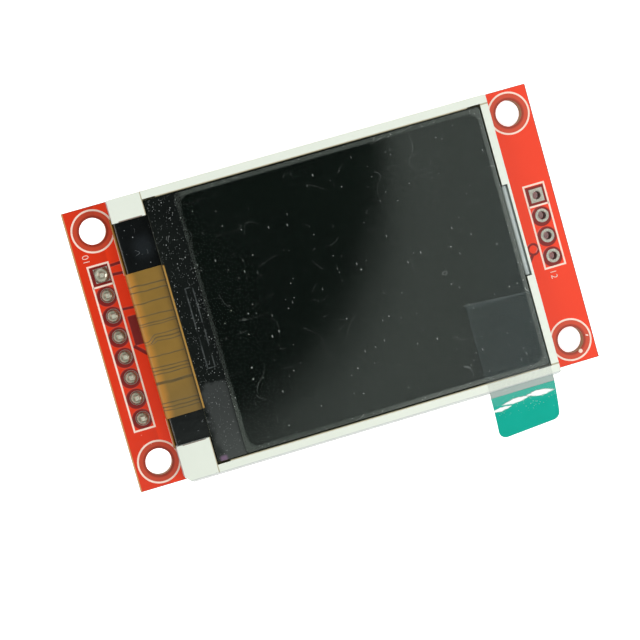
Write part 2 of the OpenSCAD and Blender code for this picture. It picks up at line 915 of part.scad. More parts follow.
// Folded steel shell with a thumb notch, two windows with card springs, and four soldered feet
module socket_shell() {
  hw = socket_w / 2;
  notch_r = (notch_w * notch_w + notch_d * notch_d) / (2 * notch_d);
  color("silver")
    at_socket()
      difference() {
        union() {
          translate([0, 0, socket_h - shell_t])
            linear_extrude(shell_t)
              round_rect([-hw, 0], [hw, socket_d], shell_r);
          for (s = [-1, 1]) {
            translate([s * (hw - shell_t / 2) - shell_t / 2, shell_r, shell_lift])
              cube([shell_t, socket_d - 2 * shell_r, socket_h - shell_lift - tiny]);
            for (y = foot_y) {
              translate([s * (hw - shell_t / 2) - shell_t / 2, y, 0])
                cube([shell_t, foot_w, shell_lift + tiny]);
              translate([s * (hw + shell_foot / 2 - shell_t / 2) - (shell_foot + shell_t) / 2, y, 0])
                cube([shell_foot + shell_t, foot_w, shell_t]);
            }
          }
        }
        translate([0, notch_d - notch_r, 0])
          cylinder(h = far, r = notch_r, center = true, $fn = 128);
        for (s = [-1, 1]) {
          // each window keeps a tongue that presses on the card
          difference() {
            translate([s * window_x - window.x / 2, window_y, socket_h - 1])
              cube([window.x, window.y, 2]);
            translate([s * window_x - tongue.x / 2, window_y - 1, socket_h - 2])
              cube([tongue.x, tongue.y + 1, 4]);
          }
          translate([s * peep_at.x, peep_at.y, socket_h - 1])
            cylinder(h = 2, r = peep_r);
        }
      }
}

// ---- small parts on the back ----

// Body with sloping sides: narrower by draft at top and bottom than at its parting line
module drafted_body(l, w, h, draft) {
  intersection() {
    along_y(w)
      polygon([[-l / 2 + draft, 0], [l / 2 - draft, 0], [l / 2, h * part_line], [l / 2 - draft, h],
        [-l / 2 + draft, h], [-l / 2, h * part_line]]);
    along_x(l)
      polygon([[-w / 2 + draft, 0], [w / 2 - draft, 0], [w / 2, h * part_line], [w / 2 - draft, h],
        [-w / 2 + draft, h], [-w / 2, h * part_line]]);
  }
}

module regulator_body() {
  color("dimgray")
    on_back()
      translate([regulator_at.x, regulator_at.y, lead_t / 2])
        difference() {
          drafted_body(regulator_l, regulator_w, regulator_h, body_draft);
          regulator_lead_set();
        }
}

// Three gull-wing leads, two on one side and one on the other, drawn in the body's own frame
module regulator_lead_set() {
  mid = regulator_h * part_line;
  root = regulator_w / 2 - 0.25;
  for (p = [[-lead_x, -1], [lead_x, -1], [0, 1]])
    translate([p.x, 0, 0])
      along_x(lead_w)
        mirror([p.y < 0 ? 1 : 0, 0])
          ribbon([
            [root, mid], [root + 0.45, mid], [root + 0.7, -lead_t / 2],
            [root + 0.7 + lead_out, -lead_t / 2]
          ], lead_t);
}

module regulator_leads() {
  color("silver")
    on_back()
      translate([regulator_at.x, regulator_at.y, lead_t / 2])
        regulator_lead_set();
}

// Places of a list of chip parts on the back
module at_chips(list) {
  on_back()
    for (p = list)
      translate([p[0], p[1], 0])
        rotate(p[2])
          children();
}

// The ceramic middle and the two metal ends of a chip part
module chip_middle(l, w, h, cap) {
  translate([-l / 2 + cap, -w / 2, end_over])
    cube([l - 2 * cap, w, h]);
}
module chip_ends(l, w, h, cap) {
  for (s = [0, 1])
    mirror([s, 0, 0])
      translate([l / 2 - cap, -w / 2 - end_over, 0])
        cube([cap, w + 2 * end_over, h + 2 * end_over]);
}

module capacitor_bodies() {
  color("tan")
    at_chips(capacitor_at)
      chip_middle(capacitor_l, capacitor_w, capacitor_h, capacitor_cap);
}
module capacitor_ends() {
  color("silver")
    at_chips(capacitor_at)
      chip_ends(capacitor_l, capacitor_w, capacitor_h, capacitor_cap);
}
module resistor_bodies() {
  color("black")
    at_chips(resistor_at)
      chip_middle(resistor_l, resistor_w, resistor_h, resistor_cap);
}
module resistor_ends() {
  color("silver")
    at_chips(resistor_at)
      chip_ends(resistor_l, resistor_w, resistor_h, resistor_cap);
}

printed_board();
header_pads();
header_solder();
header_pins();
header_strip();
plated_holes();
mounting_foam();
display_frame();
reflector_sheet();
light_guide();
backlight_flex();
backlight_leds();
diffuser_sheet();
lower_prism_sheet();
upper_prism_sheet();
rim_tape();
rear_polariser();
rear_glass();
front_glass();
fill_seal();
driver_chip();
ledge_tape();
flex_cable();
flex_contacts();
front_polariser();
protective_film();
clear_tape();
pull_tab();
socket_base();
socket_shell();
socket_contacts();
socket_switch();
regulator_body();
regulator_leads();
capacitor_bodies();
capacitor_ends();
resistor_bodies();
resistor_ends();
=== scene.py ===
import json
import math

import bpy
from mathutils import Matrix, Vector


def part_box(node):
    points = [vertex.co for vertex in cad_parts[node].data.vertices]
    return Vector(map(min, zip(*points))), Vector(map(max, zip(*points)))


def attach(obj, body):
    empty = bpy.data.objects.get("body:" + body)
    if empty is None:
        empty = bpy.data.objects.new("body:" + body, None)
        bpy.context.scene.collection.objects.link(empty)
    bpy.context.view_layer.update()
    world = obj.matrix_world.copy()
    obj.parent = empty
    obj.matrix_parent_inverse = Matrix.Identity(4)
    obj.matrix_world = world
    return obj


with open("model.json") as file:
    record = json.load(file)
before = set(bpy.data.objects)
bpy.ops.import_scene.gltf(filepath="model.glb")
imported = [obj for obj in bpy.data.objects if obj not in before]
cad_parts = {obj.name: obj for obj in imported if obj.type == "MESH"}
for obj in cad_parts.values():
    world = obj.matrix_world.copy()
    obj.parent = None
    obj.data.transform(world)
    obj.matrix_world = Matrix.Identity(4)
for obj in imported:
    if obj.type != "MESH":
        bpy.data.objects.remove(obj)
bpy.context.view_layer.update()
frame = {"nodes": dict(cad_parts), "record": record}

milli = 0.001


def boxOf(node):  # a node's lowest and highest corners, in millimetres
    low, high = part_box(node)
    return low / milli, high / milli


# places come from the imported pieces, in the model's own frame
boardLow, boardHigh = boxOf("printed_board")
frameLow, frameHigh = boxOf("display_frame")
glassLow, glassHigh = boxOf("front_glass")
polariserLow, polariserHigh = boxOf("front_polariser")
chipLow, chipHigh = boxOf("driver_chip")
tapeLow, tapeHigh = boxOf("clear_tape")
socketLow, socketHigh = boxOf("socket_shell")
pinsLow, pinsHigh = boxOf("header_pins")
headerLow, headerHigh = boxOf("header_pads")
spareLow, spareHigh = boxOf("plated_holes")
filmHigh = boxOf("protective_film")[1]
tabHigh = boxOf("pull_tab")[1]
boardTop = boardHigh.z

holeDims = frame["record"]["mounts"][0]["dims"]
holeX = holeDims["spacing_x_mm"] / 2
holeY = holeDims["spacing_y_mm"] / 2
holeRadius = holeDims["hole_r_mm"]
holes = [(x, y) for x in (-holeX, holeX) for y in (-holeY, holeY)]
pitch = 2.54


def padRow(x, middle, count):  # the pads' centres, highest y first
    return [(x, middle + ((count - 1) / 2 - i) * pitch) for i in range(count)]


headerPads = padRow((headerLow.x + headerHigh.x) / 2, (headerLow.y + headerHigh.y) / 2, 8)
sparePads = padRow((spareLow.x + spareHigh.x) / 2, 0.0, 4)
print("frame loaded:", len(frame["nodes"]), "nodes")


class Wire:  # one output socket; each operator adds one Math node
    def __init__(self, owner, socket):
        self.owner = owner
        self.socket = socket

    def maths(self, operation, *others):
        values = dict(enumerate((self,) + others))
        return self.owner.node("ShaderNodeMath", {"operation": operation}, values)

    def __add__(self, other):
        return self.maths("ADD", other)

    def __radd__(self, other):
        return self.maths("ADD", other)

    def __sub__(self, other):
        return self.maths("SUBTRACT", other)

    def __rsub__(self, other):
        return self.maths("MULTIPLY", -1.0).maths("ADD", other)

    def __mul__(self, other):
        return self.maths("MULTIPLY", other)

    def __rmul__(self, other):
        return self.maths("MULTIPLY", other)

    def __abs__(self):
        return self.maths("ABSOLUTE")

    def least(self, other):
        return self.maths("MINIMUM", other)

    def most(self, other):
        return self.maths("MAXIMUM", other)


def tone(red, green, blue):  # a colour given in 0 to 255 steps, as the shader takes it
    def straight(step):
        value = step / 255
        return value / 12.92 if value <= 0.04045 else ((value + 0.055) / 1.055) ** 2.4
    return (straight(red), straight(green), straight(blue), 1.0)


black = (0.0, 0.0, 0.0, 1.0)
white = (1.0, 1.0, 1.0, 1.0)


class Tree:  # a node tree, and the one way in which a node is added to it
    def __init__(self, tree):
        self.tree = tree

    def node(self, kind, settings, values, output=0):
        made = self.tree.nodes.new(kind)
        for setting, value in settings.items():
            setattr(made, setting, value)
        for slot, value in values.items():
            self.plug(made.inputs[slot], value)
        return Wire(self, made.outputs[output])

    def plug(self, socket, value):
        if isinstance(value, Wire):
            self.tree.links.new(value.socket, socket)
        else:
            socket.default_value = value

    def outlet(self, wire, output):  # another output of the node that a wire comes from
        return Wire(self, wire.socket.node.outputs[output])


class Paint(Tree):  # one material, and the few ways in which its pattern is built
    def __init__(self, name, colour, roughness, metallic=0.0, coat=0.0, alpha=1.0):
        self.material = bpy.data.materials.new(name)
        self.material.use_nodes = True
        super().__init__(self.material.node_tree)
        self.shader = self.tree.nodes["Principled BSDF"]
        self.colour(colour)
        self.set(Roughness=roughness, Metallic=metallic, Alpha=alpha)
        self.set(**{"Coat Weight": coat})
        place = self.node("ShaderNodeTexCoord", {}, {}, "Object")
        scaled = {0: place, "Scale": 1 / milli}
        self.spot = self.node("ShaderNodeVectorMath", {"operation": "SCALE"}, scaled)
        self.x, self.y, self.z = self.parts(self.spot)
        self.up = self.parts(self.outlet(place, "Normal"))[2]  # 1 on a face that looks up

    def set(self, **values):
        for name, value in values.items():
            self.plug(self.shader.inputs[name], value)

    def colour(self, value):
        self.plug(self.shader.inputs["Base Color"], value)

    def surface(self, shader):  # another shader in place of the first one
        self.plug(self.tree.nodes["Material Output"].inputs["Surface"], shader)

    def parts(self, vector):
        first = self.node("ShaderNodeSeparateXYZ", {}, {0: vector})
        return [self.outlet(first, i) for i in range(3)]

    def mix(self, mask, below, above):  # below where the mask is 0, above where it is 1
        values = {0: mask, 6: below, 7: above}
        return self.node("ShaderNodeMix", {"data_type": "RGBA"}, values, 2)

    def rise(self, value, low, high):  # 0 below low, 1 above high, smooth in between
        values = {0: value, 1: low, 2: high}
        return self.node("ShaderNodeMapRange", {"interpolation_type": "SMOOTHSTEP"}, values)

    def near(self, value, centre, half, soft=0.03):  # 1 where value lies within half of centre
        return 1 - self.rise(abs(value - centre), half - soft, half + soft)

    def patch(self, x0, x1, y0, y1, soft=0.05):
        across = self.near(self.x, (x0 + x1) / 2, (x1 - x0) / 2, soft)
        return across * self.near(self.y, (y0 + y1) / 2, (y1 - y0) / 2, soft)

    def away(self, centre):  # distance in the board's plane from a point
        across = self.x - centre[0]
        along = self.y - centre[1]
        return (across * across + along * along).maths("SQRT")

    def disc(self, centre, radius, soft=0.03):
        return 1 - self.rise(self.away(centre), radius - soft, radius + soft)

    def discs(self, centres, radius, soft=0.03):
        return self.union([self.disc(centre, radius, soft) for centre in centres])

    def stroke(self, start, end, half, soft=0.03):  # a straight line of that half width
        length = math.dist(start, end)
        ux = (end[0] - start[0]) / length
        uy = (end[1] - start[1]) / length
        fromX = self.x - start[0]
        fromY = self.y - start[1]
        along = fromX * ux + fromY * uy
        across = fromY * ux - fromX * uy
        inLength = self.near(along, length / 2, length / 2, soft)
        return inLength * self.near(across, 0.0, half, soft)

    def union(self, masks):
        joined = masks[0]
        for mask in masks[1:]:
            joined = joined.most(mask)
        return joined

    def stretched(self, scale, turn=0.0):
        rotation = (0.0, 0.0, math.radians(turn))
        values = {"Vector": self.spot, "Scale": scale, "Rotation": rotation}
        return self.node("ShaderNodeMapping", {}, values)

    def noise(self, scale, detail=2.0, source=None):
        values = {"Vector": source or self.spot, "Scale": scale, "Detail": detail}
        return self.node("ShaderNodeTexNoise", {}, values)

    def specks(self, scale, size, share, source=None):  # dust: a share of the cells hold a grain
        values = {"Vector": source or self.spot, "Scale": scale}
        cell = self.node("ShaderNodeTexVoronoi", {}, values)
        chance = self.parts(self.outlet(cell, "Color"))
        grain = 1 - self.rise(cell, size * 0.4, size)
        kept = self.rise(chance[0], 1 - share, 1 - share * 0.8)
        return grain * kept * (0.4 + chance[1] * 0.6)

    def hairs(self, scale, width, share, source=None):  # scratches along a noise's contour
        contour = abs(self.noise(scale, 1.0, source) - 0.5)
        kept = self.rise(self.noise(scale * 2.3, 0.0, source), 1 - share, 1.02 - share)
        return (1 - self.rise(contour, 0.0, width)) * kept

    def bump(self, height, depth):  # depth in millimetres for a height of 1
        values = {"Height": height, "Strength": 1.0, "Distance": depth * milli}
        self.set(Normal=self.node("ShaderNodeBump", {}, values))


boardLook = {
    "mask": tone(220, 46, 12),          # solder mask over the copper pour
    "maskLight": tone(234, 60, 22),
    "maskBright": tone(255, 60, 16),    # painted light: brighter strips beside the display
    "maskBare": tone(118, 10, 8),       # solder mask where the copper is left out
    "maskBareLight": tone(146, 16, 10),
    "maskHole": tone(182, 80, 56),      # round the mounting holes
    "holeRim": tone(112, 28, 14),
    "grain": tone(252, 190, 165),
    "laminate": tone(190, 140, 84),
    "laminateDark": tone(150, 98, 54),
    "rimBrown": tone(140, 62, 36),
    "rimPale": tone(206, 160, 104),     # the short edge beside the header
    "clearance": 1.22,                  # radius left free of copper round a pad
    "offset": (-0.1, -0.08),            # how far the copper sits from the drilled row
    "holePrint": 2.42,                  # radius of the lighter mask round a mounting hole
    "holeWear": 0.28,                   # and how far the darker rim reaches from the hole
    # strokes where copper is left out: start, end and half width
    "gapStrokes": [((-25.3, 9.82), (-23.5, 9.9), 0.17), ((-25.3, 8.72), (-23.5, 8.6), 0.17),
                   ((-25.3, 4.42), (-23.5, 4.28), 0.15), ((-25.2, -0.2), (-23.6, -1.75), 0.2),
                   ((24.35, -3.1), (23.6, -4.1), 0.2)],
    "gapPatch": (-25.0, -23.4, -0.2, 3.4),
    "via": (24.63, -2.43),
    "viaRadii": (0.5, 0.78),
    "leftStrip": (-24.4, 1.0),          # middle and half width of the strip of painted light
    "rightStrip": (23.0, 24.0),         # where the strip of painted light begins
}


def boardGaps(paint):  # 1 where the copper under the mask is left out
    look = boardLook
    dx, dy = look["offset"]
    half = look["clearance"]
    gaps = []
    for row in (headerPads, sparePads):
        x, y = row[0][0] + dx, row[0][1] + dy
        gaps.append(paint.patch(x - half, x + half, y - half, y + half))
        gaps.append(paint.discs([(x + dx, y + dy) for x, y in row[1:]], half, 0.06))
    for start, end, width in look["gapStrokes"]:
        gaps.append(paint.stroke(start, end, width))
    gaps.append(paint.patch(*look["gapPatch"], 0.06))
    inner, outer = look["viaRadii"]
    gaps.append(paint.disc(look["via"], outer, 0.05) * (1 - paint.disc(look["via"], inner, 0.05)))
    return paint.union(gaps)


def boardFinish():
    look = boardLook
    paint = Paint("solder_mask_red", look["mask"], 0.2)
    bare = boardGaps(paint)
    # flow of the mask: faint cloudiness, and a few light grains
    cloud = paint.noise(0.35, 3.0)
    colour = paint.mix(cloud * 0.6, look["mask"], look["maskLight"])
    # painted light: the mask is brighter in strips beside the display
    litStrips = paint.near(paint.x, *look["leftStrip"], 0.15) * 0.8
    litStrips = litStrips.most(paint.rise(paint.x, *look["rightStrip"]) * 0.6)
    colour = paint.mix(litStrips, colour, look["maskBright"])
    colour = paint.mix(paint.specks(1.1, 0.1, 0.12) * 0.7, colour, look["grain"])
    colour = paint.mix(paint.discs(holes, look["holePrint"], 0.08) * 0.6, colour, look["maskHole"])
    rims = paint.discs(holes, holeRadius + look["holeWear"], 0.12)
    colour = paint.mix(rims * 0.6, colour, look["holeRim"])
    colour = paint.mix(bare, colour, paint.mix(cloud * 0.5, look["maskBare"], look["maskBareLight"]))
    # the mask stops just short of the cut edges, and the walls show the laminate
    inside = paint.near(paint.x, (boardLow.x + boardHigh.x) / 2 + 0.03,
                        (boardHigh.x - boardLow.x) / 2 - 0.1, 0.03)
    inside = inside * paint.near(paint.y, 0.0, boardHigh.y - 0.05, 0.03)
    colour = paint.mix(inside, look["rimBrown"], colour)
    leftRim = 1 - paint.rise(paint.x, boardLow.x + 0.1, boardLow.x + 0.16)
    colour = paint.mix(leftRim, colour, look["rimPale"])
    face = paint.rise(abs(paint.up), 0.5, 0.9)
    layers = paint.noise(1.0, 2.0, paint.stretched((2.0, 2.0, 14.0)))
    wall = paint.mix(layers, look["laminateDark"], look["laminate"])
    paint.colour(paint.mix(face, wall, colour))
    paint.set(Roughness=0.62 - face * 0.44 + bare * 0.06)
    paint.bump((1 - bare) * 0.6 + paint.noise(1.6, 2.0) * 0.25, 0.03)
    return paint.material


platingLook = {
    "base": tone(186, 186, 180),
    "dull": tone(142, 136, 126),
    "bright": tone(180, 176, 168),
    "mouth": tone(120, 116, 110),       # round each hole's edge
    "barrel": tone(92, 84, 80),         # painted shade on the wall down the hole
    "mouthRadius": 0.6,
    "barrelLow": 0.9,                   # height at which the painted shade on the wall is darkest
}


def platingFinish(name, centres):
    look = platingLook
    paint = Paint(name, look["base"], 0.3, metallic=0.75)
    grain = paint.noise(5.0, 3.0)
    mouths = paint.discs(centres, look["mouthRadius"], 0.08)
    # painted shade: the hole's wall darkens downwards
    barrel = 1 - paint.rise(paint.z, look["barrelLow"], boardTop + 0.03)
    colour = paint.mix(grain, look["dull"], look["bright"])
    colour = paint.mix(mouths * 0.35, colour, look["mouth"])
    colour = paint.mix(barrel * 0.85, colour, look["barrel"])
    paint.colour(colour)
    paint.set(Roughness=0.28 + grain * 0.2)
    paint.bump(grain, 0.03)
    return paint.material


solderLook = {
    "base": tone(170, 166, 158),
    "dull": tone(138, 130, 116),
    "bright": tone(188, 184, 172),
    "flux": tone(84, 76, 66),           # brown in the middle of each dome: flux and a painted dark reflection
    "fluxLight": tone(124, 114, 98),
    "foot": tone(96, 90, 84),           # painted shade where a dome meets its pad
    "fluxRadius": 0.5,
    "fluxOffset": (-0.06, 0.04),
    "footRadius": 0.78,
}


def solderFinish(name, centres=()):
    look = solderLook
    paint = Paint(name, look["base"], 0.3, metallic=0.9)
    grain = paint.noise(2.2, 3.0)
    colour = paint.mix(grain, look["dull"], look["bright"])
    if centres:
        # flux and a painted dark reflection in the middle of each dome
        dx, dy = look["fluxOffset"]
        middle = paint.discs([(x + dx, y + dy) for x, y in centres], look["fluxRadius"], 0.16)
        flux = paint.mix(grain, look["flux"], look["fluxLight"])
        colour = paint.mix(middle * 0.85, colour, flux)
        # painted shade round the dome's foot, where it meets its pad
        foot = 1 - paint.discs(centres, look["footRadius"], 0.05)
        colour = paint.mix(foot * 0.6, colour, look["foot"])
    paint.colour(colour)
    paint.set(Roughness=0.16 + grain * 0.16)
    paint.bump(grain + paint.noise(6.0, 2.0) * 0.3, 0.03)
    return paint.material


pinLook = {
    "base": tone(214, 206, 190),
    "tin": (tone(180, 172, 158), tone(236, 230, 216)),
    "gold": (tone(214, 176, 98), tone(232, 200, 126)),
}


def pinFinish(name, metal):
    paint = Paint(name, pinLook["base"], 0.25, metallic=0.9)
    grain = paint.noise(6.0, 2.0)
    paint.colour(paint.mix(grain, *pinLook[metal]))
    paint.set(Roughness=0.22 + grain * 0.15)
    return paint.material


frameLook = {
    "base": tone(232, 240, 228),
    "face": (tone(226, 232, 219), tone(235, 239, 228)),
    "wall": (tone(198, 203, 200), tone(214, 219, 215)),     # painted shade on the walls, a little greyer towards the header
    "grime": (tone(84, 80, 52), tone(146, 142, 108)),       # painted shade where it stands against the glass
    # painted shade in the filling recess
    "recess": tone(150, 156, 148),
    "rim": tone(150, 130, 80),
    "seam": tone(104, 66, 42),
    "saddle": tone(20, 20, 18),
    # painted shade: a grey line where the top face meets the sloped lower wall
    "foot": tone(196, 200, 197),
    "speck": tone(150, 146, 132),
    "wallShade": (4.0, 9.0),            # x over which the wall's painted shade changes
    "recessSpan": (-5.15, 6.25),        # the filling recess along y, then in height
    "recessWall": (3.9, 4.2),
    "armSpan": (12.6, 12.8),            # distance from the middle at which the arms begin
    "seams": ((14.52, 0.09), (-12.95, 0.07)),               # y and half width
    "seamSpan": (-21.6, 1.45),
    "saddleWall": (3.5, 3.9),           # heights at which the saddle's wall turns white
}


def frameFinish():
    look = frameLook
    paint = Paint("frame_white_plastic", look["base"], 0.42, coat=0.1)
    cloud = paint.noise(0.12, 2.0)
    colour = paint.mix(cloud, *look["face"])
    # the walls: painted grey shade outside, and painted olive shade where they stand against the glass
    level = paint.rise(paint.up, 0.75, 0.97)
    paintedWallShade = paint.mix(paint.rise(paint.x, *look["wallShade"]), *look["wall"])
    colour = paint.mix(level, paintedWallShade, colour)
    pocket = paint.patch(glassLow.x - 0.3, glassHigh.x + 0.3, glassLow.y - 0.3, glassHigh.y + 0.3, 0.02)
    # painted shade: darker deeper in the pocket round the glass
    deepShade = 1 - paint.rise(paint.z, frameHigh.z - 0.95, frameHigh.z - 0.12)
    grime = paint.mix(paint.noise(1.2, 2.0), *look["grime"])
    colour = paint.mix((pocket * (1 - level)).most(pocket * deepShade) * 0.9, colour, grime)
    # painted shade on the floor and wall of the filling recess
    recess = paint.patch(glassHigh.x - 0.1, frameHigh.x - 0.25, *look["recessSpan"], 0.02)
    recess = recess * (1 - paint.rise(paint.z, *look["recessWall"]))
    colour = paint.mix(recess, colour, look["recess"])
    # a thin brown line where the moulding's inner edge meets the glass
    rim = paint.near(abs(paint.y), glassHigh.y + 0.16, 0.09, 0.03)
    rim = rim * paint.rise(paint.x, glassLow.x - 0.3, glassLow.x)
    ends = paint.near(paint.x, glassLow.x - 0.24, 0.06, 0.03)
    rim = rim.most(ends * paint.rise(abs(paint.y), *look["armSpan"]))
    colour = paint.mix(rim * level * 0.75, colour, look["rim"])
    # dark line between the arms and the black tape, and the tape's black on the saddle under it
    seam = paint.union([paint.near(paint.y, y, half, 0.03) for y, half in look["seams"]])
    seam = seam * paint.near(paint.x, *look["seamSpan"], 0.1)
    colour = paint.mix(seam * level * 0.85, colour, look["seam"])
    saddle = 1 - paint.rise(paint.z, *look["saddleWall"])
    saddle = saddle * (1 - paint.rise(paint.x, glassLow.x - 0.3, glassLow.x - 0.2))
    colour = paint.mix(saddle * level, colour, look["saddle"])
    # painted shade: a grey line where the top face meets the sloped lower wall
    foot = paint.near(paint.y, frameLow.y + 0.5, 0.1, 0.04)
    colour = paint.mix(foot * level * 0.8, colour, look["foot"])
    colour = paint.mix(paint.specks(0.9, 0.07, 0.1) * level * 0.5, colour, look["speck"])
    paint.colour(colour)
    paint.set(Roughness=0.38 + cloud * 0.12)
    paint.bump(paint.noise(7.0, 2.0), 0.006)
    return paint.material


glassLook = {
    "base": tone(18, 21, 20),
    "shades": (tone(16, 19, 18), tone(27, 31, 29)),
    "side": tone(96, 96, 78),
    "haze": tone(66, 69, 68),
    "chipLine": tone(120, 126, 126),
    "dust": tone(205, 210, 208),
    "cutEdge": tone(188, 146, 76),      # over the flex cable
    # painted reflection: a small violet glint at the ledge's lower end
    "glint": tone(150, 112, 150),
    "hazeTop": (-6.2, -5.0),            # the haze ends between these, with a ragged edge
    "hazeLeft": (-18.6, -17.4),
    "cutSpan": (-0.6, 8.8),
    "glintPlace": (-18.7, -15.9),
}


def ledgeMarks(paint, colour):  # haze, chip outline, dust, cut edge and a painted glint of the bare ledge
    look = glassLook
    ledge = 1 - paint.rise(paint.x, polariserLow.x - 0.6, polariserLow.x - 0.3)
    ragged = paint.y + paint.noise(0.8, 3.0) * 3.0
    haze = (1 - paint.rise(ragged, *look["hazeTop"])) * ledge
    haze = haze * paint.rise(paint.x + paint.noise(0.6, 1.0) * 2.0, *look["hazeLeft"])
    colour = paint.mix(haze * 0.8, colour, look["haze"])
    outline = paint.patch(chipLow.x - 0.06, chipHigh.x + 0.1, chipLow.y, chipHigh.y, 0.05)
    inner = paint.patch(chipLow.x + 0.1, chipHigh.x - 0.04, chipLow.y + 0.14, chipHigh.y - 0.14, 0.05)
    broken = paint.rise(paint.noise(0.9, 2.0), 0.35, 0.6)
    colour = paint.mix((outline - inner) * broken * 0.3, colour, look["chipLine"])
    dust = paint.specks(3.2, 0.22, 0.4, paint.stretched((1.0, 0.8, 1.0), 20))
    dust = dust.most(paint.specks(5.0, 0.26, 0.4) * 0.8)
    dust = dust.most(paint.specks(2.2, 0.16, 0.3, paint.stretched((1.8, 0.5, 1.0), -25)))
    dust = dust.most(paint.hairs(0.7, 0.006, 0.36) * 0.4)
    clumps = paint.rise(paint.noise(0.7, 2.0), 0.38, 0.62) * 0.7 + 0.3
    amount = (paint.rise(paint.y, -12.0, 6.0) * 0.35 + 0.5) * clumps
    colour = paint.mix(dust * ledge * amount, colour, look["dust"])
    edge = paint.near(paint.x, glassLow.x + 0.1, 0.1, 0.04) * paint.near(paint.y, *look["cutSpan"], 0.1)
    colour = paint.mix(edge * 0.9, colour, look["cutEdge"])
    # painted reflection: a small violet glint near the ledge's lower end
    x, y = look["glintPlace"]
    glint = paint.near(paint.y, y, 0.35, 0.2) * paint.near(paint.x, x, 0.4, 0.2)
    return paint.mix(glint * 0.5, colour, look["glint"])


def glassFinish(name, hasLedge):
    look = glassLook
    paint = Paint(name, look["base"], 0.06, alpha=0.97)
    colour = paint.mix(paint.noise(0.4, 2.0), *look["shades"])
    side = 1 - paint.rise(abs(paint.up), 0.4, 0.8)
    colour = paint.mix(side, colour, look["side"])
    if hasLedge:
        colour = ledgeMarks(paint, colour)
    paint.colour(colour)
    paint.set(Roughness=0.06 + side * 0.25)
    return paint.material


polariserLook = {
    "base": tone(9, 15, 12),
    "shades": (tone(7, 13, 10), tone(12, 19, 15)),
}


def polariserFinish(name):
    paint = Paint(name, polariserLook["base"], 0.03)
    paint.colour(paint.mix(paint.noise(0.06, 1.0), *polariserLook["shades"]))
    wave = paint.noise(0.14, 1.0)
    paint.set(Roughness=0.03 + wave * 0.03)
    paint.bump(wave, 0.008)
    return paint.material


filmLook = {
    "clear": tone(66, 72, 68),
    "base": tone(60, 66, 62),
    "border": (tone(50, 56, 52), tone(96, 103, 96)),
    "borderPale": tone(132, 138, 132),  # painted reflection on the border's lower right part
    "cool": tone(84, 100, 104),         # painted reflection: the tint at the clear part's lower right
    "mark": tone(228, 232, 228),
    "margin": 0.12,                     # the clear part ends this far inside the polariser
    "corner": 1.25,                     # and its corners are rounded
    "cornerRadius": 1.1,
    "paleFrom": (4.0, 16.0),
    "coolFrom": (12.0, 26.0),
    "dustyBelow": (-12.0, -6.0),        # the left strip is dusty only towards the near corner
}


def clearPart(paint):  # 1 where the film lies on the polariser; round it the film bridges a step
    margin = filmLook["margin"]
    clear = paint.patch(polariserLow.x + margin, polariserHigh.x - margin,
                        polariserLow.y + margin, polariserHigh.y - margin, 0.1)
    leftX = polariserLow.x + filmLook["corner"]
    rightX = polariserHigh.x - filmLook["corner"]
    topY = polariserHigh.y - filmLook["corner"]
    corners = [(x, y) for x in (leftX, rightX) for y in (-topY, topY)]
    reach = paint.patch(leftX, rightX, -20, 20, 0.02).most(paint.patch(-30, 30, -topY, topY, 0.02))
    return clear * reach.most(paint.discs(corners, filmLook["cornerRadius"], 0.1))


def filmMarks(paint, border):  # dust, flecks, scratches, and the edge of the tape under the film
    dust = paint.specks(0.8, 0.08, 0.6)
    dust = dust.most(paint.specks(1.3, 0.1, 0.3, paint.stretched((1, 1, 1), 33)))
    flecks = paint.specks(0.6, 0.12, 0.5, paint.stretched((2.6, 0.8, 1.0), 38))
    scratches = paint.hairs(0.16, 0.0022, 0.46) * 0.35
    across = paint.stretched((0.5, 1.3, 1.0), -15)
    scratches = scratches.most(paint.hairs(0.3, 0.004, 0.36, across) * 0.3)
    borderDust = paint.specks(2.6, 0.22, 0.4) * border * 0.6
    start = (tapeLow.x - 0.2, tapeHigh.y)
    tapeLine = paint.stroke(start, (filmHigh.x, tapeHigh.y - 0.55), 0.06, 0.05)
    tapeLine = tapeLine * paint.rise(paint.noise(0.8, 1.0), 0.36, 0.5) * 0.35
    marks = dust.most(flecks * 0.7).most(scratches).most(borderDust).most(tapeLine)
    return marks * paint.rise(paint.up, 0.5, 0.9)


def filmFinish():
    look = filmLook
    paint = Paint("protective_film_clear", look["base"], 0.12, alpha=0.2)
    clear = clearPart(paint)
    border = 1 - clear
    grey = paint.mix(paint.noise(2.2, 3.0), *look["border"])
    # painted reflection: the border is paler towards the lower right
    paleReflection = paint.rise(paint.x * 0.8 - paint.y * 0.5, *look["paleFrom"])
    grey = paint.mix(paleReflection * 0.6, grey, look["borderPale"])
    colour = paint.mix(border, look["clear"], grey)
    marks = filmMarks(paint, border)
    # painted reflection: a cool tint on the clear part's lower right
    cool = paint.rise(paint.x - paint.y * 0.4, *look["coolFrom"])
    colour = paint.mix(cool * clear, colour, look["cool"])
    colour = paint.mix(marks, colour, look["mark"])
    paint.colour(colour)
    left = 1 - paint.rise(paint.x, polariserLow.x + 0.2, polariserLow.x + 0.5)
    low = 1 - paint.rise(paint.y, *look["dustyBelow"])
    strip = border * left * (0.12 + low * 0.4)
    haze = border * (1 - left) * 0.45 + strip + clear * 0.03 + cool * clear * 0.06
    paint.set(Alpha=(haze + marks * 0.9).least(1.0), Roughness=0.1 + border * 0.15)
    paint.bump(paint.noise(0.12, 1.0), 0.01)
    return paint.material


